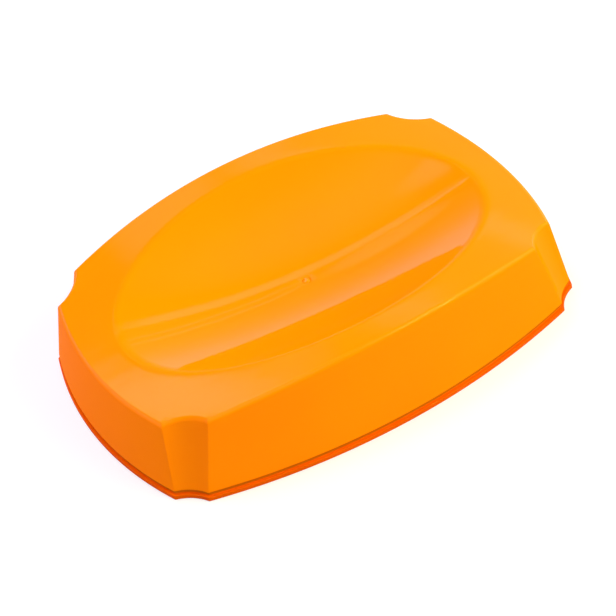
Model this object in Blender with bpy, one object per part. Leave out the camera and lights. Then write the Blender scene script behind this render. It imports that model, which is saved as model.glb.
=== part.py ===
"""Soap dish in two mouldings: a hollow dish shell with an oval soap bowl, which lifts off a low base tray.

The dish stands on the XY plane, with its length along X, its width along Y and its middle on the Z axis.
Both mouldings follow one outline, four bowed sides with a scooped notch at each corner, so every ring of
points below comes from the same function. All lengths are in metres.
"""

import math

import bpy
import bmesh
from mathutils import Vector

MM = 0.001

# The outline of the skirt's lower edge
DISH_LENGTH = 134.2 * MM
DISH_WIDTH = 93.4 * MM
END_BOW_RADIUS = 96.0 * MM
SIDE_BOW_RADIUS = 186.0 * MM
NOTCH_RADIUS = 12.0 * MM
NOTCH_INSET_X = 1.5 * MM
NOTCH_INSET_Y = 3.0 * MM

# How far the sides and the notches lean in on the way up to the rim
SIDE_LEAN = 3.2 * MM
NOTCH_LEAN_X = 4.3 * MM
NOTCH_LEAN_Y = 2.9 * MM

# The rim arches along the length and is highest over the middle
RIM_HEIGHT = 28.4 * MM
RIM_CROWN_RADIUS = 293.0 * MM
RIM_EDGE_RADIUS = 2.0 * MM
SHELL_WALL = 1.8 * MM

# The soap bowl curves both ways and meets the arched rim in an oval
BOWL_LENGTH = 107.0 * MM
BOWL_WIDTH = 69.6 * MM
BOWL_DEPTH = 12.0 * MM
BOWL_LIP_WIDTH = 1.6 * MM
GATE_RADIUS = 1.1 * MM
GATE_FACE_RADIUS = 0.8 * MM
GATE_HEIGHT = 0.2 * MM

# The base tray shows as a proud edge band under a thin shadow line
BAND_PROUD = 0.4 * MM
BAND_HEIGHT = 1.8 * MM
SHADOW_LINE_HEIGHT = 1.1 * MM
SHADOW_LINE_DEPTH = 0.7 * MM
TRAY_FLOOR = 1.6 * MM
FOOT_WIDTH = 5.0 * MM
FOOT_HEIGHT = 0.8 * MM
LOCATING_WALL = 1.4 * MM
LOCATING_WALL_HEIGHT = 4.5 * MM
FIT_CLEARANCE = 0.3 * MM

# Steps along each stretch of a quarter of the outline
END_STEPS = 6
NOTCH_STEPS = 8
SIDE_STEPS = 10

# Rings across the rounded rim edge, across the bowl's lip and down the bowl, as shares of the way out
EDGE_STEPS = 4
LIP_STEPS = 4
BOWL_RING_SHARES = (0.86, 0.72, 0.58, 0.44, 0.3, 0.16)

SHELL_COLOUR = (1.0, 0.27, 0.0, 1.0)
TRAY_COLOUR = (0.85, 0.11, 0.0, 1.0)
GLOSS_ROUGHNESS = 0.12

SKIRT_FOOT = BAND_HEIGHT + SHADOW_LINE_HEIGHT


def crossings(centre_a, radius_a, centre_b, radius_b):
    """The two points where two circles cross."""
    between = centre_b - centre_a
    along = (radius_a**2 - radius_b**2 + between.length_squared) / (2 * between.length)
    across = math.sqrt(max(radius_a**2 - along**2, 0))
    middle = centre_a + between.normalized() * along
    sideways = between.normalized().orthogonal() * across
    return middle + sideways, middle - sideways


def arc(centre, start, end, facing, steps):
    """Points on a circle from start to end, passing the side of the centre that the angle facing names."""
    first, last = [
        math.remainder(math.atan2(point.y - centre.y, point.x - centre.x) - facing, math.tau)
        for point in (start, end)
    ]
    radius = (start - centre).length
    angles = [facing + first + (last - first) * step / steps for step in range(steps + 1)]
    return [centre + radius * Vector((math.cos(angle), math.sin(angle))) for angle in angles]


def outline(lean_share, inset=0.0):
    """The outline as a ring of 2-D points, anticlockwise from +X, leaned in by a share and inset squarely."""
    half_length = DISH_LENGTH / 2 - SIDE_LEAN * lean_share
    half_width = DISH_WIDTH / 2 - SIDE_LEAN * lean_share
    end_centre = Vector((half_length - END_BOW_RADIUS, 0))
    side_centre = Vector((0, half_width - SIDE_BOW_RADIUS))
    notch_centre = Vector((
        DISH_LENGTH / 2 - NOTCH_INSET_X - NOTCH_LEAN_X * lean_share,
        DISH_WIDTH / 2 - NOTCH_INSET_Y - NOTCH_LEAN_Y * lean_share,
    ))
    end_radius = END_BOW_RADIUS - inset
    side_radius = SIDE_BOW_RADIUS - inset
    notch_radius = NOTCH_RADIUS + inset

    end_middle = Vector((half_length - inset, 0))
    side_middle = Vector((0, half_width - inset))
    end_corner = min(crossings(end_centre, end_radius, notch_centre, notch_radius), key=lambda p: p.y)
    side_corner = min(crossings(side_centre, side_radius, notch_centre, notch_radius), key=lambda p: p.x)

    quarter = arc(end_centre, end_middle, end_corner, 0, END_STEPS)[:-1]
    quarter += arc(notch_centre, end_corner, side_corner, math.radians(225), NOTCH_STEPS)[:-1]
    quarter += arc(side_centre, side_corner, side_middle, math.radians(90), SIDE_STEPS)
    return four_quarters(quarter)


def four_quarters(quarter):
    """A closed ring from a quarter that runs from the +X axis to the +Y axis."""
    there = quarter[:-1]
    back = quarter[:0:-1]
    ring = [Vector((point.x, point.y)) for point in there]
    ring += [Vector((-point.x, point.y)) for point in back]
    ring += [Vector((-point.x, -point.y)) for point in there]
    ring += [Vector((point.x, -point.y)) for point in back]
    return ring


def rim_height(x):
    """Height of the arched rim at a place along the length."""
    return RIM_HEIGHT - x**2 / (2 * RIM_CROWN_RADIUS)


def level(points, height):
    """Lifts a ring of 2-D points to one height."""
    return [Vector((point.x, point.y, height)) for point in points]


def under_rim(points, depth):
    """Lifts a ring of 2-D points to a depth under the arched rim."""
    return [Vector((point.x, point.y, rim_height(point.x) - depth)) for point in points]


def bowl_directions():
    """Unit directions of the oval's points, one for each point of the outline, so that their rings pair up."""
    stretched = [Vector((point.x / BOWL_LENGTH, point.y / BOWL_WIDTH)) for point in outline(1)]
    return [point.normalized() for point in stretched]


def bowl_point(direction, reach_share, lip_offset=0.0):
    """The top surface at a share of the way out to the oval, with the height and slope of the rounded lip."""
    edge = Vector((direction.x * BOWL_LENGTH / 2, direction.y * BOWL_WIDTH / 2))
    share = reach_share + lip_offset / edge.length
    x, y = edge * share
    inside = 1 - share**2
    softness = 2 * BOWL_LIP_WIDTH / edge.length
    blend = min(max((inside + softness) / (2 * softness), 0), 1)
    drop = inside if inside > softness else softness * blend**2
    slope_x = 2 * blend * BOWL_DEPTH * x / (BOWL_LENGTH / 2) ** 2 - x / RIM_CROWN_RADIUS
    slope_y = 2 * blend * BOWL_DEPTH * y / (BOWL_WIDTH / 2) ** 2
    return Vector((x, y, rim_height(x) - BOWL_DEPTH * drop)), math.sqrt(1 + slope_x**2 + slope_y**2)


def bowl_rings(thickness):
    """Rings from the middle of the bowl out over its lip, a wall's thickness under the top surface."""
    lip_offsets = [BOWL_LIP_WIDTH * (2 * step / LIP_STEPS - 1) for step in range(LIP_STEPS + 1)]
    stations = [(share, 0.0) for share in reversed(BOWL_RING_SHARES)]
    stations += [(1.0, offset) for offset in lip_offsets]
    rings = []
    for share, offset in stations:
        ring = []
        for direction in bowl_directions():
            point, steepness = bowl_point(direction, share, offset)
            point.z -= thickness * steepness
            ring.append(point)
        rings.append(ring)
    return rings


def gate_ring(radius, height):
    """A small circle round the middle of the bowl's floor."""
    floor_height = RIM_HEIGHT - BOWL_DEPTH
    return level([point.normalized() * radius for point in outline(1)], floor_height + height)


def loft(name, start, rings, end):
    """One closed body: a fan at the start point, a skin over the rings in order, and a fan at the end point."""
    mesh = bpy.data.meshes.new(name)
    bm = bmesh.new()
    first = bm.verts.new(start)
    last = bm.verts.new(end)
    loops = [[bm.verts.new(point) for point in ring] for ring in rings]
    count = len(loops[0])
    for i in range(count):
        following = (i + 1) % count
        bm.faces.new((first, loops[0][i], loops[0][following]))
        bm.faces.new((loops[-1][i], last, loops[-1][following]))
        for inner, outer in zip(loops, loops[1:]):
            bm.faces.new((inner[i], outer[i], outer[following], inner[following]))
    bm.to_mesh(mesh)
    bm.free()
    mesh.shade_smooth()
    mesh.set_sharp_from_angle(angle=math.radians(30))
    part = bpy.data.objects.new(name, mesh)
    bpy.context.scene.collection.objects.link(part)
    return part


def plastic(name, colour):
    """Glossy moulded plastic."""
    material = bpy.data.materials.new(name)
    material.use_nodes = True
    shader = material.node_tree.nodes["Principled BSDF"]
    shader.inputs["Base Color"].default_value = colour
    shader.inputs["Roughness"].default_value = GLOSS_ROUGHNESS
    shader.inputs["Metallic"].default_value = 0.0
    return material


def dish_shell():
    """The upper moulding: bowl, arched rim and flared skirt, hollow and open underneath."""
    rings = [gate_ring(GATE_FACE_RADIUS, GATE_HEIGHT), gate_ring(GATE_RADIUS, 0)]
    rings += bowl_rings(0)
    for step in range(EDGE_STEPS + 1):
        turn = math.radians(90) * step / EDGE_STEPS
        inset = RIM_EDGE_RADIUS * (1 - math.sin(turn))
        depth = RIM_EDGE_RADIUS * (1 - math.cos(turn))
        rings.append(under_rim(outline(1, inset), depth))
    rings.append(level(outline(0), SKIRT_FOOT))
    rings.append(level(outline(0, SHELL_WALL), SKIRT_FOOT))
    rings.append(under_rim(outline(1, SHELL_WALL), SHELL_WALL))
    rings += reversed(bowl_rings(SHELL_WALL))

    bowl_floor = RIM_HEIGHT - BOWL_DEPTH
    top = Vector((0, 0, bowl_floor + GATE_HEIGHT))
    underside = Vector((0, 0, bowl_floor - SHELL_WALL))
    shell = loft("dish_shell", top, rings, underside)
    shell.data.materials.append(plastic("shell_plastic", SHELL_COLOUR))
    return shell


def base_tray():
    """The lower moulding: a floor with a foot ring, the proud edge band and a wall that fits in the skirt."""
    floor_top = FOOT_HEIGHT + TRAY_FLOOR
    seat = SKIRT_FOOT - FIT_CLEARANCE
    wall_top = seat + LOCATING_WALL_HEIGHT
    lowest_rim = rim_height(DISH_LENGTH / 2)
    wall_lean = LOCATING_WALL_HEIGHT / (lowest_rim - SKIRT_FOOT)
    wall_outside = SHELL_WALL + FIT_CLEARANCE
    wall_inside = wall_outside + LOCATING_WALL

    rings = [
        level(outline(wall_lean, wall_inside), floor_top),
        level(outline(wall_lean, wall_inside), wall_top),
        level(outline(wall_lean, wall_outside), wall_top),
        level(outline(0, wall_outside), seat),
        level(outline(0, SHADOW_LINE_DEPTH), seat),
        level(outline(0, SHADOW_LINE_DEPTH), BAND_HEIGHT),
        level(outline(0, -BAND_PROUD), BAND_HEIGHT),
        level(outline(0, -BAND_PROUD), 0),
        level(outline(0, FOOT_WIDTH), 0),
        level(outline(0, FOOT_WIDTH), FOOT_HEIGHT),
    ]
    tray = loft("base_tray", Vector((0, 0, floor_top)), rings, Vector((0, 0, FOOT_HEIGHT)))
    tray.data.materials.append(plastic("tray_plastic", TRAY_COLOUR))
    return tray


def clear_scene():
    for obj in list(bpy.data.objects):
        bpy.data.objects.remove(obj, do_unlink=True)


clear_scene()
base_tray()
dish_shell()
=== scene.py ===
"""The looks of the soap dish: two glossy mouldings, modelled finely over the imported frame, and a studio."""

import math

import bmesh
import bpy
from bpy.props import FloatProperty, FloatVectorProperty, PointerProperty
from mathutils import Matrix, Vector


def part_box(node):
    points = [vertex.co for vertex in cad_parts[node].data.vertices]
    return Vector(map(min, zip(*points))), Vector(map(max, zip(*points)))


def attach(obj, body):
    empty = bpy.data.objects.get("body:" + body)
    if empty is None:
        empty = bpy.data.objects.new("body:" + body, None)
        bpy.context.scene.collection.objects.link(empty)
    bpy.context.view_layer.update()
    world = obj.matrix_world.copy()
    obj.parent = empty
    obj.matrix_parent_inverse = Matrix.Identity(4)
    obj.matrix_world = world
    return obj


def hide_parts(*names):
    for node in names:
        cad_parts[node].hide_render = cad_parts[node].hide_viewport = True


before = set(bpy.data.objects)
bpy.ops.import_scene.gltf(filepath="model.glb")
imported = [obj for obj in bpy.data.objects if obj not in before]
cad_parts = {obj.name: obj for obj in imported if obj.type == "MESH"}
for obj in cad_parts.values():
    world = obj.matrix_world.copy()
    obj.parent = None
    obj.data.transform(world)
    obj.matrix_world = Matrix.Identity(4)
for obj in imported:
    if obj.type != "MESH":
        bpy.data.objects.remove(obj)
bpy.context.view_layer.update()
SHELL_LOW, SHELL_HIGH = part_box("dish_shell")
TRAY_LOW, TRAY_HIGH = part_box("base_tray")

bl_info = {
    "name": "Soap Dish",
    "version": (1, 0, 0),
    "blender": (4, 5, 0),
    "location": "3D View > Sidebar > Soap Dish",
    "description": "Models a two-part soap dish with an oval bowl, and its studio",
    "category": "Add Mesh",
}

MM = 0.001

# Steps along each stretch of a quarter of the outline
END_STEPS = 20
CORNER_STEPS = 4
NOTCH_STEPS = 22
SIDE_STEPS = 34

# Rings over the gate mark, the bowl, its lip, the rim, its crease and its edge, and down the skirt
GATE_RINGS = 16
BOWL_RINGS = 22
LIP_RINGS = 10
RIM_RINGS = 8
CREASE_RINGS = 5
EDGE_RINGS = 8
SKIRT_RINGS = 6

# Steps round each small rounded edge
ROUND_STEPS = 4

# How far the surface turns down over the rim's tight crease
RIM_CREASE_TURN = math.radians(28)

# How much lower the skirt's foot lies here than in the frame, because the photo shows a narrower band
SKIRT_DROP = 0.35 * MM

# The plain bowl starts this many gate radii from its middle, and ends this many half lip widths inside
# its oval edge
BOWL_START_SHARE = 1.4
BOWL_END_SHARE = 1.15

# The gate mark: the radius of the nub's flat, its outer radius and where the groove starts, as shares of
# the mark's radius, and the slope and azimuth of the nub's cut
GATE_FLAT_SHARE = 0.3
GATE_NUB_SHARE = 0.5
GATE_GROOVE_SHARE = 0.45
GATE_CUT_SLOPE = 0.43
GATE_CUT_AZIMUTH = math.radians(-141)

# How far the tray's groove may reach in at the ridges beside the notches, in its own depths
GROOVE_REACH_SHARE = 1.1

# Lowest and highest roughness, and strength of the gloss on upright walls and on the top
SHELL_ROUGHNESS = (0.05, 0.09)
SHELL_POLISH = (0.06, 0.25)
TRAY_ROUGHNESS = (0.08, 0.14)
TRAY_POLISH = (0.05, 0.12)

# Roughness of the gloss itself, on both plastics
GLOSS_ROUGHNESS = 0.06

# How far up a surface faces, from 0 to 1, where it counts as wall and as top
WALL_FACING = 0.4
TOP_FACING = 0.8

# The bowl's lip has this share of the polish beside it, which comes back between these half lip widths
LIP_POLISH_SHARE = 0.35
LIP_FADE_SHARES = (0.8, 1.3)

# The groove's painted shade, a browner colour, comes in between these shares of the rounding of its edges
GROOVE_SHADE_FADE_SHARES = (0.2, 1.2)

# Scale and detail of each noise, and the stretch of values that a noise seldom leaves
CLOUD_NOISE = (38, 3)
ROUGHNESS_NOISE = (160, 4)
POLISH_NOISE = (90, 3)
SKIN_NOISE = (220, 2)
NOISE_LOW = 0.35
NOISE_HIGH = 0.65

# The share of the deeper colour in the clouds, and the share of the polish that its noise leaves
CLOUD_SHARES = (0.0, 0.5)
POLISH_SHARES = (0.94, 1.0)

# The soft waves of the moulded skin
SKIN_STRENGTH = 0.08
SKIN_DEPTH = 0.2 * MM

# The photograph's side in pixels, and the width of the camera's sensor in Blender's own millimetres
PHOTO_SIDE = 616
SENSOR_WIDTH = 36.0

# The nearest that the camera sees
CLIP_START = 10 * MM

# How far the lamps stand from the dish, and the floor's size and its place under the dish, in metres
LAMP_DISTANCE = 1.2
FLOOR_SIZE = 6.0
FLOOR_DROP = 0.2 * MM

# The floor's finish, and the glow that brings it to white where it is seen
FLOOR_ROUGHNESS = 0.9
FLOOR_COLOUR = (0.38, 0.42, 0.5)
FLOOR_GLOW = 0.64

# Colours of the lights
WARM = (1.0, 0.75, 0.55)
WHITE = (1.0, 1.0, 1.0)
ROSE = (0.9, 0.5, 0.8)

# The large lamp in front on the right: azimuth and elevation in degrees, width and height in metres,
# brightness, of which 1 is white paper, and colour
KEY_SOFTBOX = (-42, 33, 1.15, 0.9, 5.7, (1.0, 0.87, 0.3))

# The same for a small lamp high up behind on the left: it lights the top and glints in the gate mark
EDGE_SOFTBOX = (135, 70, 0.28, 0.28, 12.0, WHITE)

# The same for a narrow lamp in front, which shows only as a glint, mostly along the rim's front edge
FRONT_GLINT = (-58, 33, 0.35, 0.12, 60.0, (1.0, 0.75, 0.15))

# Elevation in degrees and brightness of the room's rosy glow behind the dish
ROOM_GLOW = (
    (0, 4.0),
    (12, 3.85),
    (19, 2.3),
    (25, 1.2),
    (32, 0.6),
    (38, 0.35),
    (44, 0.1),
    (52, 0.0),
)

# The share of the glow that is left on the camera's side of the room, and how far from the dish, as the Y
# of a direction, it is reached
ROOM_FRONT_SHARE = 0.1
ROOM_TURN = 0.35

# Soft patches of light in the room: azimuth, elevation, full radius and outer radius in degrees, and then
# brightness and colour
ROOM_PATCHES = (
    (-110, 50, 10, 28, 2.6, WARM),
    (105, 66, 5, 11, 2.0, WHITE),
    (77, 41, 3, 7, 1.5, WHITE),
)

# Straight lights in the room: the azimuth that each is square to, its elevation there, the degrees from
# its middle where it starts, is full, fades and ends, and how the brightness rises along it, as pairs of
# places from -1 to 1 with the rise between them
ROOM_STRIPS = (
    (77, 49.0, (-2.2, -1.6, 1.8, 3.8), ((-0.47, -0.4, 2.6), (0.03, 0.17, -2.6))),
    (77, 49.0, (-2.2, -1.6, -0.9, -0.3), ((0.0, 0.17, 5.5), (0.2, 0.3, -1.6), (0.5, 0.75, -2.0))),
    (99, 47.9, (-0.6, -0.25, 0.25, 0.6), ((-0.70, -0.66, 2.2), (-0.45, -0.35, -2.2))),
    (102.3, 44.5, (-0.6, -0.25, 0.25, 0.6), ((-0.77, -0.72, 2.2), (-0.5, -0.4, -2.2))),
)


def length_property(name, description, default):
    """A length that a user can change, in metres."""
    return FloatProperty(
        name=name, description=description, default=default, min=0.0, precision=4, unit="LENGTH"
    )


def angle_property(name, description, degrees):
    """An angle that a user can change. Its default is given in degrees."""
    return FloatProperty(
        name=name, description=description, default=math.radians(degrees), subtype="ANGLE"
    )


def colour_property(name, description, default):
    """A colour that a user can change."""
    return FloatVectorProperty(
        name=name, description=description, default=default, size=3, min=0.0, max=1.0, subtype="COLOR"
    )


class DishOutline(bpy.types.PropertyGroup):
    """The outline that both mouldings share: four bowed sides and a scooped notch at each corner."""

    length: length_property("Length", "Length of the skirt's lower edge", 2 * SHELL_HIGH.x)
    width: length_property("Width", "Width of the skirt's lower edge", 2 * SHELL_HIGH.y)
    end_bow_radius: length_property("End bow", "Radius of the two short sides", 96.0 * MM)
    side_bow_radius: length_property("Side bow", "Radius of the two long sides", 186.0 * MM)
    notch_radius: length_property("Notch radius", "Radius of the corner notches", 12.0 * MM)
    notch_inset_x: length_property("Notch inset X", "Notch centre from the end of the skirt", 1.5 * MM)
    notch_inset_y: length_property("Notch inset Y", "Notch centre from the side of the skirt", 3.0 * MM)
    corner_radius: length_property("Corner rounding", "Radius of the ridges beside the notches", 0.45 * MM)
    side_lean: length_property("Side lean", "How far the sides lean in up to the rim", 3.2 * MM)
    notch_lean_x: length_property("Notch lean X", "How far the notches lean in along the length", 4.3 * MM)
    notch_lean_y: length_property("Notch lean Y", "How far the notches lean in across the width", 2.9 * MM)


class DishShell(bpy.types.PropertyGroup):
    """The upper moulding: arched rim, oval bowl and hollow skirt."""

    skirt_foot: length_property("Skirt foot", "Height of the skirt's lower edge", SHELL_LOW.z - SKIRT_DROP)
    rim_height: length_property("Rim height", "Height of the rim over the middle", SHELL_HIGH.z)
    rim_crown_radius: length_property("Rim arch", "Radius of the rim's arch along the length", 293.0 * MM)
    rim_crease_radius: length_property("Rim crease", "Tight radius where the rim starts to fall", 0.3 * MM)
    rim_edge_radius: length_property("Rim edge", "Wide radius from the crease to the wall", 1.7 * MM)
    wall: length_property("Wall", "Thickness of the moulding", 1.8 * MM)
    bowl_length: length_property("Bowl length", "Length of the oval bowl", 107.0 * MM)
    bowl_width: length_property("Bowl width", "Width of the oval bowl", 69.6 * MM)
    bowl_depth: length_property("Bowl depth", "Depth of the bowl under the rim", 12.0 * MM)
    lip_width: length_property("Lip width", "Half the width of the bowl's rounded lip", 1.1 * MM)
    gate_radius: length_property("Gate mark radius", "Outer radius of the mould's gate mark", 1.55 * MM)
    gate_depth: length_property("Gate groove", "Depth of the groove round the gate's nub", 0.22 * MM)
    gate_height: length_property("Gate nub", "Height of the nub, which is cut off at a slant", 0.3 * MM)
    foot_rounding: length_property("Foot rounding", "Rounding of the skirt's lower edges", 0.4 * MM)


class BaseTray(bpy.types.PropertyGroup):
    """The lower moulding: edge band, shadow line, locating wall and foot ring."""

    band_proud: length_property("Band", "How far the band passes the skirt", TRAY_HIGH.x - SHELL_HIGH.x)
    band_height: length_property("Band height", "Height of the edge band", 1.35 * MM)
    shadow_line_depth: length_property("Shadow line", "Depth of the groove over the band", 0.45 * MM)
    seat_gap: length_property("Seat gap", "Gap under the skirt's lower edge", 0.05 * MM)
    side_clearance: length_property("Clearance", "Gap between the skirt and the locating wall", 0.3 * MM)
    floor_thickness: length_property("Floor", "Thickness of the tray's floor", 1.6 * MM)
    foot_width: length_property("Foot width", "Width of the foot ring", 5.0 * MM)
    foot_height: length_property("Foot height", "Height of the foot ring", 0.8 * MM)
    wall_thickness: length_property("Locating wall", "Thickness of the locating wall", 1.4 * MM)
    wall_height: length_property("Wall height", "Height of the locating wall over its seat", 4.25 * MM)
    edge_rounding: length_property("Edge rounding", "Rounding of the tray's edges", 0.2 * MM)


class DishFinish(bpy.types.PropertyGroup):
    """Colours of the two plastics, and the painted shade in the tray's groove."""

    shell_colour: colour_property("Shell", "Colour of the dish shell", (1.0, 0.285, 0.0))
    shell_cloud_colour: colour_property("Shell clouds", "Deeper colour in the shell", (1.0, 0.265, 0.0))
    tray_colour: colour_property("Tray", "Colour of the base tray", (0.81, 0.13, 0.0))
    tray_cloud_colour: colour_property("Tray clouds", "Deeper colour in the tray", (0.71, 0.105, 0.0))
    # A painted shade: this browner colour stands in for the shadow in the groove over the band
    groove_shade_colour: colour_property("Groove", "Colour of the groove over the band", (0.55, 0.15, 0.003))


class Studio(bpy.types.PropertyGroup):
    """The camera of the photograph."""

    azimuth: angle_property("Azimuth", "Way that the camera faces, from +Y", 23.64)
    elevation: angle_property("Elevation", "Camera's angle down", 42.37)
    roll: angle_property("Roll", "Camera's turn round its own axis", 11.06)
    distance: length_property("Distance", "Camera's distance from the dish", 776.8 * MM)
    aim_across: length_property("Aim across", "The dish's middle right of the picture's", 1.755 * MM)
    aim_under: length_property("Aim under", "The dish's middle under the picture's", 4.513 * MM)
    focal_pixels: FloatProperty(
        name="Focal length", description="Focal length in pixels of the photograph", default=2883.75
    )


def crossings(centre_a, radius_a, centre_b, radius_b):
    """The two points where two circles cross."""
    between_centres = centre_b - centre_a
    distance = between_centres.length
    along = (radius_a**2 - radius_b**2 + between_centres.length_squared) / (2 * distance)
    across = math.sqrt(max(radius_a**2 - along**2, 0))
    middle = centre_a + between_centres.normalized() * along
    sideways = between_centres.normalized().orthogonal() * across
    return middle + sideways, middle - sideways


def heading(start, end):
    """The angle from +X of the way from one point to another."""
    return math.atan2(end.y - start.y, end.x - start.x)


def arc(centre, radius, first, last, steps):
    """Points on a circle between two angles, without the last one, where the next stretch starts."""
    angles = [first + (last - first) * step / steps for step in range(steps)]
    return [centre + radius * Vector((math.cos(angle), math.sin(angle))) for angle in angles]


def four_quarters(quarter):
    """A closed ring from a quarter that runs from the +X axis to the +Y axis."""
    there = quarter[:-1]
    back = quarter[:0:-1]
    ring = [Vector((point.x, point.y)) for point in there]
    ring += [Vector((-point.x, point.y)) for point in back]
    ring += [Vector((-point.x, -point.y)) for point in there]
    ring += [Vector((point.x, -point.y)) for point in back]
    return ring


def outline(shape, lean_share, inset=0.0):
    """The outline as a ring of 2-D points, anticlockwise from +X, leaned in by a share and then inset."""
    half_length = shape.length / 2 - shape.side_lean * lean_share
    half_width = shape.width / 2 - shape.side_lean * lean_share
    end_centre = Vector((half_length - shape.end_bow_radius, 0))
    side_centre = Vector((0, half_width - shape.side_bow_radius))
    notch_centre = Vector((
        shape.length / 2 - shape.notch_inset_x - shape.notch_lean_x * lean_share,
        shape.width / 2 - shape.notch_inset_y - shape.notch_lean_y * lean_share,
    ))
    end_radius = shape.end_bow_radius - inset
    side_radius = shape.side_bow_radius - inset
    notch_radius = shape.notch_radius + inset
    rounding = shape.corner_radius

    # Each ridge is rounded about a point that lies one rounding radius inside both of its neighbours
    beside_end = crossings(end_centre, end_radius - rounding, notch_centre, notch_radius + rounding)
    beside_side = crossings(side_centre, side_radius - rounding, notch_centre, notch_radius + rounding)
    end_corner = min(beside_end, key=lambda point: point.y)
    side_corner = min(beside_side, key=lambda point: point.x)
    end_turn = heading(end_centre, end_corner)
    side_turn = heading(side_centre, side_corner)
    scoop_start = heading(end_corner, notch_centre)
    scoop_end = heading(side_corner, notch_centre)

    quarter = arc(end_centre, end_radius, 0, end_turn, END_STEPS)
    quarter += arc(end_corner, rounding, end_turn, scoop_start, CORNER_STEPS)
    quarter += arc(notch_centre, notch_radius, scoop_start + math.pi, scoop_end + math.pi, NOTCH_STEPS)
    quarter += arc(side_corner, rounding, scoop_end, side_turn, CORNER_STEPS)
    quarter += arc(side_centre, side_radius, side_turn, math.radians(90), SIDE_STEPS)
    quarter.append(Vector((0, half_width - inset)))
    return four_quarters(quarter)


def level(points, height):
    """Lifts a ring of 2-D points to one height."""
    return [Vector((point.x, point.y, height)) for point in points]


def rim_height(shell, x):
    """Height of the arched rim at a place along the length."""
    return shell.rim_height - x**2 / (2 * shell.rim_crown_radius)


def under_rim(shell, points, depth):
    """Lifts a ring of 2-D points to a depth under the arched rim."""
    return [Vector((point.x, point.y, rim_height(shell, point.x) - depth)) for point in points]


def between(ring_a, ring_b, share):
    """A ring that lies at a share of the way from one ring to another."""
    return [a.lerp(b, share) for a, b in zip(ring_a, ring_b)]


def within(ring, outer_ring, reach):
    """A ring whose points lie no further than a reach from those of an outer ring."""
    limited = []
    for point, outer in zip(ring, outer_ring):
        step = point - outer
        limited.append(outer + step * min(1, reach / step.length))
    return limited


def bowl_point(shell, direction, reach_share, lip_offset=0.0):
    """A point of the top, at a share of the way out to the oval and past its lip, and its steepness."""
    half_length = shell.bowl_length / 2
    half_width = shell.bowl_width / 2
    edge = Vector((direction.x * half_length, direction.y * half_width))
    share = reach_share + lip_offset / edge.length
    x, y = edge * share
    inside = 1 - share**2
    softness = 2 * shell.lip_width / edge.length
    blend = min(max((inside + softness) / (2 * softness), 0), 1)
    drop = inside if inside > softness else softness * blend**2
    slope_x = 2 * blend * shell.bowl_depth * x / half_length**2 - x / shell.rim_crown_radius
    slope_y = 2 * blend * shell.bowl_depth * y / half_width**2
    height = rim_height(shell, x) - shell.bowl_depth * drop
    return Vector((x, y, height)), math.sqrt(1 + slope_x**2 + slope_y**2)


def bowl_rings(shape, shell, thickness):
    """Rings from the gate mark out over the bowl and its lip, a thickness under the top surface."""
    directions = [
        Vector((point.x / shell.bowl_length, point.y / shell.bowl_width)).normalized()
        for point in outline(shape, 1)
    ]
    inner = BOWL_START_SHARE * shell.gate_radius / (shell.bowl_width / 2)
    outer = 1 - BOWL_END_SHARE * shell.lip_width / (shell.bowl_width / 2)
    stations = [(inner + (outer - inner) * step / BOWL_RINGS, 0.0) for step in range(BOWL_RINGS)]
    stations += [(1.0, shell.lip_width * (2 * step / LIP_RINGS - 1)) for step in range(LIP_RINGS + 1)]
    rings = []
    for share, offset in stations:
        ring = []
        for direction in directions:
            point, steepness = bowl_point(shell, direction, share, offset)
            point.z -= thickness * steepness
            ring.append(point)
        rings.append(ring)
    return rings


def gate_rings(shape, shell):
    """Rings from the middle of the gate mark outwards: a nub cut off at a slant, in a ring groove."""
    cut = GATE_CUT_SLOPE * Vector((math.cos(GATE_CUT_AZIMUTH), math.sin(GATE_CUT_AZIMUTH)))
    directions = [point.normalized() for point in outline(shape, 1)]
    rings = []
    for step in range(1, GATE_RINGS + 1):
        share = step / GATE_RINGS
        nub = min(max((GATE_NUB_SHARE - share) / (GATE_NUB_SHARE - GATE_FLAT_SHARE), 0), 1)
        along_groove = min(max((share - GATE_GROOVE_SHARE) / (1 - GATE_GROOVE_SHARE), 0), 1)
        groove = shell.gate_depth * math.sin(math.pi * along_groove) ** 2
        ring = []
        for direction in directions:
            x, y = direction * shell.gate_radius * share
            inside = 1 - (2 * x / shell.bowl_length) ** 2 - (2 * y / shell.bowl_width) ** 2
            rise = nub * (shell.gate_height - cut.x * x - cut.y * y) - groove
            ring.append(Vector((x, y, rim_height(shell, x) - shell.bowl_depth * inside + rise)))
        rings.append(ring)
    return rings


def rim_edge_profile(shell):
    """The inset and depth of each ring round the rim's edge: a tight crease and a wide fall to the wall."""
    fall = math.radians(90) - RIM_CREASE_TURN
    turns = [
        (RIM_CREASE_TURN * step / CREASE_RINGS, shell.rim_crease_radius)
        for step in range(1, CREASE_RINGS + 1)
    ]
    turns += [
        (RIM_CREASE_TURN + fall * step / EDGE_RINGS, shell.rim_edge_radius)
        for step in range(1, EDGE_RINGS + 1)
    ]
    steps = [(0.0, 0.0)]
    last_turn = 0.0
    for turn, radius in turns:
        out, down = steps[-1]
        out += radius * (math.sin(turn) - math.sin(last_turn))
        down += radius * (math.cos(last_turn) - math.cos(turn))
        steps.append((out, down))
        last_turn = turn
    width = steps[-1][0]
    return [(width - out, down) for out, down in steps]


def soften(rings, corners, radius):
    """Turns the rings of sharp corners into rounds that reach a radius along both neighbouring faces."""
    softened = []
    for number, ring in enumerate(rings):
        if number not in corners:
            softened.append(ring)
            continue
        for step in range(ROUND_STEPS + 1):
            share = step / ROUND_STEPS
            turned = []
            for before, corner, after in zip(rings[number - 1], ring, rings[number + 1]):
                start = corner + (before - corner).normalized() * radius
                end = corner + (after - corner).normalized() * radius
                turned.append(start.lerp(corner, share).lerp(corner.lerp(end, share), share))
            softened.append(turned)
    return softened


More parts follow.
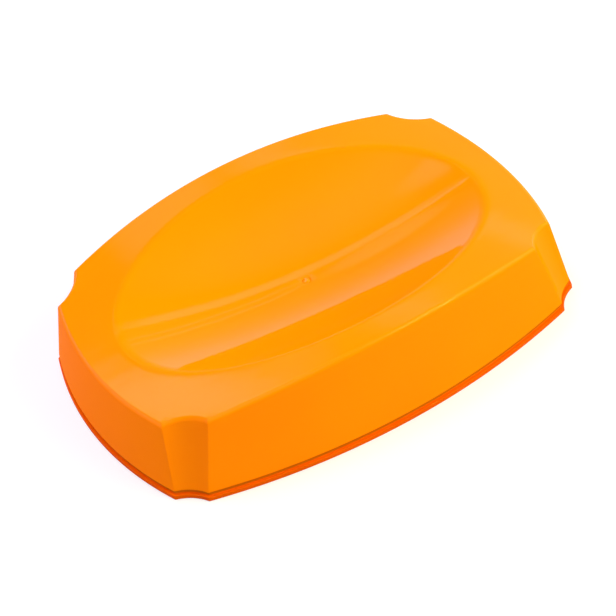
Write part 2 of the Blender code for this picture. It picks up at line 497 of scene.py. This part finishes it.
def start_piece(name, ring):
    """Adds a circle on the first ring and numbers its points, so that later rings know their order."""
    bpy.ops.object.select_all(action="DESELECT")
    bpy.ops.mesh.primitive_circle_add(vertices=len(ring), radius=ring[0].length, fill_type="NOTHING")
    piece = bpy.context.object
    piece.name = name
    piece.data.name = name
    bpy.ops.object.mode_set(mode="EDIT")
    mesh = bmesh.from_edit_mesh(piece.data)
    place = mesh.verts.layers.int.new("place")
    mesh.verts.ensure_lookup_table()
    for number, vert in enumerate(mesh.verts):
        vert[place] = number
        vert.co = ring[number]
    bmesh.update_edit_mesh(piece.data)
    return piece


def extrude_to(piece, ring):
    """Extrudes the selected loop of edges and moves it onto the next ring."""
    bpy.ops.mesh.extrude_region()
    mesh = bmesh.from_edit_mesh(piece.data)
    place = mesh.verts.layers.int["place"]
    for vert in mesh.verts:
        if vert.select:
            vert.co = ring[vert[place]]
    bmesh.update_edit_mesh(piece.data)


def close_loop():
    """Closes the selected loop of edges with a fan to its middle."""
    bpy.ops.mesh.extrude_region()
    bpy.ops.mesh.merge(type="CENTER")


def skin(name, rings):
    """A closed piece: a circle extruded from ring to ring, and closed at both ends."""
    piece = start_piece(name, rings[0])
    for ring in rings[1:]:
        extrude_to(piece, ring)
    close_loop()
    bpy.ops.mesh.select_all(action="DESELECT")
    bpy.ops.mesh.select_non_manifold(
        use_wire=False, use_multi_face=False, use_non_contiguous=False, use_verts=False
    )
    close_loop()
    bpy.ops.mesh.select_all(action="SELECT")
    bpy.ops.mesh.normals_make_consistent(inside=False)
    return piece


def finish_piece(piece):
    """Leaves edit mode, drops the working numbers and smooths the shading by face size."""
    bpy.ops.object.mode_set(mode="OBJECT")
    piece.data.attributes.remove(piece.data.attributes["place"])
    bpy.ops.object.shade_smooth()
    bpy.ops.object.modifier_add(type="WEIGHTED_NORMAL")
    bpy.ops.object.modifier_apply(modifier=piece.modifiers[-1].name)


class SOAPDISH_OT_shell(bpy.types.Operator):
    """Models the dish shell: bowl, arched rim and hollow skirt"""

    bl_idname = "soap_dish.shell"
    bl_label = "Dish Shell"

    def execute(self, context):
        shape = context.scene.dish_outline
        shell = context.scene.dish_shell
        rings = gate_rings(shape, shell)
        rings += bowl_rings(shape, shell, 0)
        lip = rings[-1]
        edge_rings = [
            under_rim(shell, outline(shape, 1, inset), depth) for inset, depth in rim_edge_profile(shell)
        ]
        for step in range(1, RIM_RINGS):
            rings.append(under_rim(shell, between(lip, edge_rings[0], step / RIM_RINGS), 0))
        rings += edge_rings
        skirt_top = rings[-1]
        skirt_foot = level(outline(shape, 0), shell.skirt_foot)
        rings += [between(skirt_top, skirt_foot, step / SKIRT_RINGS) for step in range(1, SKIRT_RINGS + 1)]
        foot_corner = len(rings) - 1
        inside_foot = level(outline(shape, 0, shell.wall), shell.skirt_foot)
        inside_top = under_rim(shell, outline(shape, 1, shell.wall), shell.wall)
        rings += [between(inside_foot, inside_top, step / SKIRT_RINGS) for step in range(SKIRT_RINGS + 1)]
        top_corner = len(rings) - 1
        rings += reversed(bowl_rings(shape, shell, shell.wall))
        rings = soften(rings, (foot_corner, foot_corner + 1, top_corner), shell.foot_rounding)

        piece = skin("soap_dish_shell", rings)
        finish_piece(piece)
        piece.data.materials.append(shell_plastic(context.scene.dish_finish, shell))
        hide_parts("dish_shell")
        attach(piece, "dish")
        return {"FINISHED"}


class SOAPDISH_OT_tray(bpy.types.Operator):
    """Models the base tray: floor, edge band, shadow line, locating wall and foot ring"""

    bl_idname = "soap_dish.tray"
    bl_label = "Base Tray"

    def execute(self, context):
        shape = context.scene.dish_outline
        shell = context.scene.dish_shell
        tray = context.scene.base_tray
        floor_top = tray.foot_height + tray.floor_thickness
        seat = shell.skirt_foot - tray.seat_gap
        wall_top = seat + tray.wall_height
        wall_lean = tray.wall_height / (rim_height(shell, shape.length / 2) - shell.skirt_foot)
        wall_outside = shell.wall + tray.side_clearance
        wall_inside = wall_outside + tray.wall_thickness
        groove_reach = GROOVE_REACH_SHARE * tray.shadow_line_depth
        groove = within(outline(shape, 0, tray.shadow_line_depth), outline(shape, 0), groove_reach)

        # From inside the locating wall over its top, down the band and under the foot ring
        rings = [
            level(outline(shape, wall_lean, wall_inside + tray.wall_thickness), floor_top),
            level(outline(shape, wall_lean, wall_inside), floor_top),
            level(outline(shape, wall_lean, wall_inside), wall_top),
            level(outline(shape, wall_lean, wall_outside), wall_top),
            level(outline(shape, 0, wall_outside), seat),
            level(groove, seat),
            level(groove, tray.band_height),
            level(outline(shape, 0, -tray.band_proud), tray.band_height),
            level(outline(shape, 0, -tray.band_proud), 0),
            level(outline(shape, 0, tray.foot_width), 0),
            level(outline(shape, 0, tray.foot_width), tray.foot_height),
            level(outline(shape, 0, tray.foot_width + tray.wall_thickness), tray.foot_height),
        ]
        rings = soften(rings, range(1, len(rings) - 1), tray.edge_rounding)

        piece = skin("soap_dish_base_tray", rings)
        finish_piece(piece)
        piece.data.materials.append(tray_plastic(context.scene.dish_finish, tray))
        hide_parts("base_tray")
        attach(piece, "tray")
        return {"FINISHED"}


def new_material(name):
    """A node material, with its node tree and its shader."""
    material = bpy.data.materials.new(name)
    material.use_nodes = True
    tree = material.node_tree
    return material, tree, tree.nodes["Principled BSDF"]


def own_space(tree, output):
    """The object's own coordinates or normals, as a socket."""
    return tree.nodes.new("ShaderNodeTexCoord").outputs[output]


def add_math(tree, operation, first, second):
    """A math node. Each of its two inputs is a socket or a number."""
    node = tree.nodes.new("ShaderNodeMath")
    node.operation = operation
    for socket, value in zip(node.inputs, (first, second)):
        if isinstance(value, (int, float)):
            socket.default_value = value
        else:
            tree.links.new(value, socket)
    return node.outputs["Value"]


def add_vector_math(tree, operation, first, second):
    """A vector math node. Each of its two inputs is a socket, or a fixed vector."""
    node = tree.nodes.new("ShaderNodeVectorMath")
    node.operation = operation
    second_socket = node.inputs["Scale"] if operation == "SCALE" else node.inputs[1]
    for socket, value in ((node.inputs[0], first), (second_socket, second)):
        if isinstance(value, bpy.types.NodeSocket):
            tree.links.new(value, socket)
        else:
            socket.default_value = value
    return node.outputs["Value"] if operation == "DOT_PRODUCT" else node.outputs["Vector"]


def add_length(tree, vector):
    """The length of a vector."""
    node = tree.nodes.new("ShaderNodeVectorMath")
    node.operation = "LENGTH"
    tree.links.new(vector, node.inputs[0])
    return node.outputs["Value"]


def add_height(tree, vector):
    """The Z of a vector."""
    split = tree.nodes.new("ShaderNodeSeparateXYZ")
    tree.links.new(vector, split.inputs["Vector"])
    return split.outputs["Z"]


def add_ramp(tree, value, low, high, bottom, top):
    """A smooth step of a value, from bottom at low to top at high."""
    step = tree.nodes.new("ShaderNodeMapRange")
    step.interpolation_type = "SMOOTHSTEP"
    step.inputs["From Min"].default_value = low
    step.inputs["From Max"].default_value = high
    step.inputs["To Min"].default_value = bottom
    step.inputs["To Max"].default_value = top
    tree.links.new(value, step.inputs["Value"])
    return step.outputs["Result"]


def add_noise(tree, scale, detail):
    """Noise in the piece's own space."""
    noise = tree.nodes.new("ShaderNodeTexNoise")
    noise.inputs["Scale"].default_value = scale
    noise.inputs["Detail"].default_value = detail
    tree.links.new(own_space(tree, "Object"), noise.inputs["Vector"])
    return noise.outputs["Fac"]


def spread(tree, value, low, high):
    """Stretches the middle of a noise to a range of values."""
    stretch = tree.nodes.new("ShaderNodeMapRange")
    stretch.inputs["From Min"].default_value = NOISE_LOW
    stretch.inputs["From Max"].default_value = NOISE_HIGH
    stretch.inputs["To Min"].default_value = low
    stretch.inputs["To Max"].default_value = high
    tree.links.new(value, stretch.inputs["Value"])
    return stretch.outputs["Result"]


def add_mix(tree, share, first, second):
    """A mix of two colours by a socket. The first colour is a socket or fixed, and the second is fixed."""
    mix = tree.nodes.new("ShaderNodeMix")
    mix.data_type = "RGBA"
    tree.links.new(share, mix.inputs["Factor"])
    if isinstance(first, bpy.types.NodeSocket):
        tree.links.new(first, mix.inputs["A"])
    else:
        mix.inputs["A"].default_value = (*first, 1)
    mix.inputs["B"].default_value = (*second, 1)
    return mix.outputs["Result"]


def add_polish(tree, wall_polish, top_polish):
    """The strength of the gloss: the upright walls, drawn along the mould, shine less than the top."""
    facing = add_height(tree, own_space(tree, "Normal"))
    polish = add_ramp(tree, facing, WALL_FACING, TOP_FACING, wall_polish, top_polish)
    unevenness = spread(tree, add_noise(tree, *POLISH_NOISE), *POLISH_SHARES)
    return add_math(tree, "MULTIPLY", polish, unevenness)


def gloss_plastic(name, colour, cloud_colour, roughness, polish):
    """Glossy moulded plastic: clouded pigment, faintly uneven gloss and the soft waves of its skin."""
    material, tree, shader = new_material(name)
    clouds = spread(tree, add_noise(tree, *CLOUD_NOISE), *CLOUD_SHARES)
    tree.links.new(add_mix(tree, clouds, colour, cloud_colour), shader.inputs["Base Color"])
    tree.links.new(spread(tree, add_noise(tree, *ROUGHNESS_NOISE), *roughness), shader.inputs["Roughness"])
    bump = tree.nodes.new("ShaderNodeBump")
    bump.inputs["Strength"].default_value = SKIN_STRENGTH
    bump.inputs["Distance"].default_value = SKIN_DEPTH
    tree.links.new(add_noise(tree, *SKIN_NOISE), bump.inputs["Height"])
    tree.links.new(bump.outputs["Normal"], shader.inputs["Normal"])
    tree.links.new(bump.outputs["Normal"], shader.inputs["Coat Normal"])
    shader.inputs["Specular IOR Level"].default_value = 0.0
    tree.links.new(add_polish(tree, *polish), shader.inputs["Coat Weight"])
    shader.inputs["Coat Roughness"].default_value = GLOSS_ROUGHNESS
    return material


def shell_plastic(finish, shell):
    """The shell's bright orange plastic, less polished along the bowl's rounded lip."""
    material = gloss_plastic(
        "shell_orange_gloss", finish.shell_colour, finish.shell_cloud_colour, SHELL_ROUGHNESS, SHELL_POLISH
    )
    tree = material.node_tree
    coat = tree.nodes["Principled BSDF"].inputs["Coat Weight"]
    oval_scale = (2 / shell.bowl_length, 2 / shell.bowl_width, 0)
    reach = add_length(tree, add_vector_math(tree, "MULTIPLY", own_space(tree, "Object"), oval_scale))
    from_lip = add_math(tree, "ABSOLUTE", add_math(tree, "SUBTRACT", reach, 1), 0)
    lip_share = 2 * shell.lip_width / shell.bowl_width
    dull_end, full_start = (share * lip_share for share in LIP_FADE_SHARES)
    dulled = add_ramp(tree, from_lip, dull_end, full_start, LIP_POLISH_SHARE, 1)
    tree.links.new(add_math(tree, "MULTIPLY", coat.links[0].from_socket, dulled), coat)
    return material


def tray_plastic(finish, tray):
    """The tray's red-orange plastic, with painted shade, a browner colour, in the groove over the band."""
    material = gloss_plastic(
        "tray_red_orange_gloss", finish.tray_colour, finish.tray_cloud_colour, TRAY_ROUGHNESS, TRAY_POLISH
    )
    tree = material.node_tree
    base = tree.nodes["Principled BSDF"].inputs["Base Color"]
    # Painted shade: the groove over the band is mixed towards a browner colour, which stands in for the
    # shadow there
    height = add_height(tree, own_space(tree, "Object"))
    fade_start, fade_end = (share * tray.edge_rounding for share in GROOVE_SHADE_FADE_SHARES)
    floor_top = tray.foot_height + tray.floor_thickness
    over_band = add_ramp(tree, height, tray.band_height + fade_start, tray.band_height + fade_end, 0, 1)
    under_floor = add_ramp(tree, height, floor_top - fade_end, floor_top - fade_start, 1, 0)
    painted_groove_shade = add_math(tree, "MULTIPLY", over_band, under_floor)
    tree.links.new(add_mix(tree, painted_groove_shade, base.links[0].from_socket, finish.groove_shade_colour), base)
    return material


def add_camera(studio):
    """The camera at the place and angle that the photograph was taken from."""
    ahead = Vector((
        math.sin(studio.azimuth) * math.cos(studio.elevation),
        math.cos(studio.azimuth) * math.cos(studio.elevation),
        -math.sin(studio.elevation),
    ))
    level_right = Vector((math.cos(studio.azimuth), -math.sin(studio.azimuth), 0))
    level_down = ahead.cross(level_right)
    right = math.cos(studio.roll) * level_right + math.sin(studio.roll) * level_down
    down = math.cos(studio.roll) * level_down - math.sin(studio.roll) * level_right
    place = -(studio.aim_across * right + studio.aim_under * down + studio.distance * ahead)
    bpy.ops.object.camera_add(location=place)
    camera = bpy.context.object
    camera.name = "photo_camera"
    turn = Matrix((right, -down, -ahead)).transposed().to_4x4()
    camera.matrix_world = Matrix.Translation(place) @ turn
    camera.data.sensor_width = SENSOR_WIDTH
    camera.data.lens = studio.focal_pixels / PHOTO_SIDE * SENSOR_WIDTH
    camera.data.clip_start = CLIP_START
    bpy.context.scene.camera = camera


def studio_point(azimuth, elevation, distance):
    """A point round the dish, from degrees anticlockwise from +X and degrees above the floor."""
    turn = math.radians(azimuth)
    rise = math.radians(elevation)
    level_way = Vector((math.cos(turn), math.sin(turn), 0)) * math.cos(rise)
    return distance * (level_way + Vector((0, 0, math.sin(rise))))


def add_softbox(name, azimuth, elevation, width, height, brightness, colour):
    """A rectangular lamp that faces the dish. A brightness of 1 looks as bright as white paper."""
    place = studio_point(azimuth, elevation, LAMP_DISTANCE)
    facing = (-place).to_track_quat("-Z", "Y")
    bpy.ops.object.light_add(type="AREA", location=place, rotation=facing.to_euler())
    lamp = bpy.context.object
    lamp.name = name
    lamp.data.shape = "RECTANGLE"
    lamp.data.size = width
    lamp.data.size_y = height
    lamp.data.energy = brightness * math.pi * width * height
    lamp.data.color = colour


def add_glint(name, *settings):
    """A softbox that shows in glossy surfaces and adds no light to the colours."""
    add_softbox(name, *settings)
    bpy.context.object.visible_diffuse = False


def add_floor():
    """A pale floor that looks white and still takes the dish's shadow."""
    bpy.ops.mesh.primitive_plane_add(size=FLOOR_SIZE, location=(0, 0, -FLOOR_DROP))
    floor = bpy.context.object
    floor.name = "studio_floor"
    material, tree, shader = new_material("studio_floor_white")
    shader.inputs["Base Color"].default_value = (*FLOOR_COLOUR, 1)
    shader.inputs["Roughness"].default_value = FLOOR_ROUGHNESS
    shader.inputs["Specular IOR Level"].default_value = 0.0
    shader.inputs["Emission Color"].default_value = (*WHITE, 1)
    path = tree.nodes.new("ShaderNodeLightPath")
    seen = add_math(tree, "MAXIMUM", path.outputs["Is Camera Ray"], path.outputs["Is Glossy Ray"])
    seen = add_math(tree, "MAXIMUM", seen, path.outputs["Is Transmission Ray"])
    tree.links.new(add_math(tree, "MULTIPLY", seen, FLOOR_GLOW), shader.inputs["Emission Strength"])
    floor.data.materials.append(material)


def add_room_glow(tree, direction):
    """The room's glow, bright near the horizon behind the dish, and dim behind the camera."""
    split = tree.nodes.new("ShaderNodeSeparateXYZ")
    tree.links.new(direction, split.inputs["Vector"])
    ramp = tree.nodes.new("ShaderNodeValToRGB")
    stops = ramp.color_ramp.elements
    stops.remove(stops[0])
    for elevation, brightness in ROOM_GLOW:
        stop = stops.new(math.sin(math.radians(elevation)))
        stop.color = (*(brightness * share for share in ROSE), 1)
    tree.links.new(split.outputs["Z"], ramp.inputs["Fac"])
    behind = add_ramp(tree, split.outputs["Y"], -ROOM_TURN, ROOM_TURN, ROOM_FRONT_SHARE, 1.0)
    return add_vector_math(tree, "SCALE", ramp.outputs["Color"], behind)


def add_patch(tree, direction, azimuth, elevation, full, outer, brightness, colour):
    """A soft round patch of light in the room."""
    nearness = add_vector_math(tree, "DOT_PRODUCT", direction, studio_point(azimuth, elevation, 1))
    fade_end = math.cos(math.radians(outer))
    fade_start = math.cos(math.radians(full))
    share = add_ramp(tree, nearness, fade_end, fade_start, 0, brightness)
    return add_vector_math(tree, "SCALE", colour, share)


def add_strip(tree, direction, azimuth, elevation, edges, rises):
    """A straight light in the room, whose brightness rises and falls along it."""
    square = studio_point(azimuth + 180, 90 - elevation, 1)
    above = add_vector_math(tree, "DOT_PRODUCT", direction, square)
    start, full, fade, end = (math.sin(math.radians(edge)) for edge in edges)
    rising = add_ramp(tree, above, start, full, 0, 1)
    band = add_math(tree, "MULTIPLY", rising, add_ramp(tree, above, fade, end, 1, 0))
    along = add_vector_math(tree, "DOT_PRODUCT", direction, studio_point(azimuth + 90, 0, 1))
    brightness = 0
    for start, end, rise in rises:
        brightness = add_math(tree, "ADD", add_ramp(tree, along, start, end, 0, rise), brightness)
    return add_vector_math(tree, "SCALE", WHITE, add_math(tree, "MULTIPLY", band, brightness))


def add_world():
    """The room round the dish: a glow near the horizon, dark above, with patches and strips of light."""
    world = bpy.data.worlds.new("studio_world")
    world.use_nodes = True
    tree = world.node_tree
    direction = tree.nodes.new("ShaderNodeTexCoord").outputs["Generated"]
    glow = add_room_glow(tree, direction)
    lights = [add_patch(tree, direction, *patch) for patch in ROOM_PATCHES]
    lights += [add_strip(tree, direction, *strip) for strip in ROOM_STRIPS]
    for light in lights:
        glow = add_vector_math(tree, "ADD", glow, light)
    tree.links.new(glow, tree.nodes["Background"].inputs["Color"])
    bpy.context.scene.world = world


class SOAPDISH_OT_stage(bpy.types.Operator):
    """Sets up the floor, the lamps and the camera"""

    bl_idname = "soap_dish.stage"
    bl_label = "Studio"

    def execute(self, context):
        bpy.ops.object.select_all(action="DESELECT")
        add_camera(context.scene.studio)
        add_floor()
        add_world()
        add_softbox("key_softbox", *KEY_SOFTBOX)
        add_softbox("edge_softbox", *EDGE_SOFTBOX)
        add_glint("front_glint", *FRONT_GLINT)
        context.scene.view_settings.view_transform = "Standard"
        return {"FINISHED"}


class SOAPDISH_PT_panel(bpy.types.Panel):
    """The soap dish's pieces and sizes"""

    bl_idname = "SOAPDISH_PT_panel"
    bl_label = "Soap Dish"
    bl_space_type = "VIEW_3D"
    bl_region_type = "UI"
    bl_category = "Soap Dish"

    def draw(self, context):
        layout = self.layout
        for operator in (SOAPDISH_OT_shell, SOAPDISH_OT_tray, SOAPDISH_OT_stage):
            layout.operator(operator.bl_idname)
        for group_name in GROUPS:
            group = getattr(context.scene, group_name)
            box = layout.box()
            box.label(text=group_name.replace("_", " ").capitalize())
            for setting in group.bl_rna.properties:
                if setting.identifier not in ("rna_type", "name"):
                    box.prop(group, setting.identifier)


GROUPS = {
    "dish_outline": DishOutline,
    "dish_shell": DishShell,
    "base_tray": BaseTray,
    "dish_finish": DishFinish,
    "studio": Studio,
}
CLASSES = (
    *GROUPS.values(),
    SOAPDISH_OT_shell,
    SOAPDISH_OT_tray,
    SOAPDISH_OT_stage,
    SOAPDISH_PT_panel,
)


def register():
    """Gives Blender the add-on's classes, and each scene its settings."""
    for cls in CLASSES:
        bpy.utils.register_class(cls)
    for name, group in GROUPS.items():
        setattr(bpy.types.Scene, name, PointerProperty(type=group))


def unregister():
    """Takes the settings and the classes away again."""
    for name in GROUPS:
        delattr(bpy.types.Scene, name)
    for cls in reversed(CLASSES):
        bpy.utils.unregister_class(cls)


def main():
    """Registers the add-on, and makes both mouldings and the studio."""
    register()
    bpy.ops.soap_dish.shell()
    bpy.ops.soap_dish.tray()
    bpy.ops.soap_dish.stage()


if __name__ == "__main__":
    main()
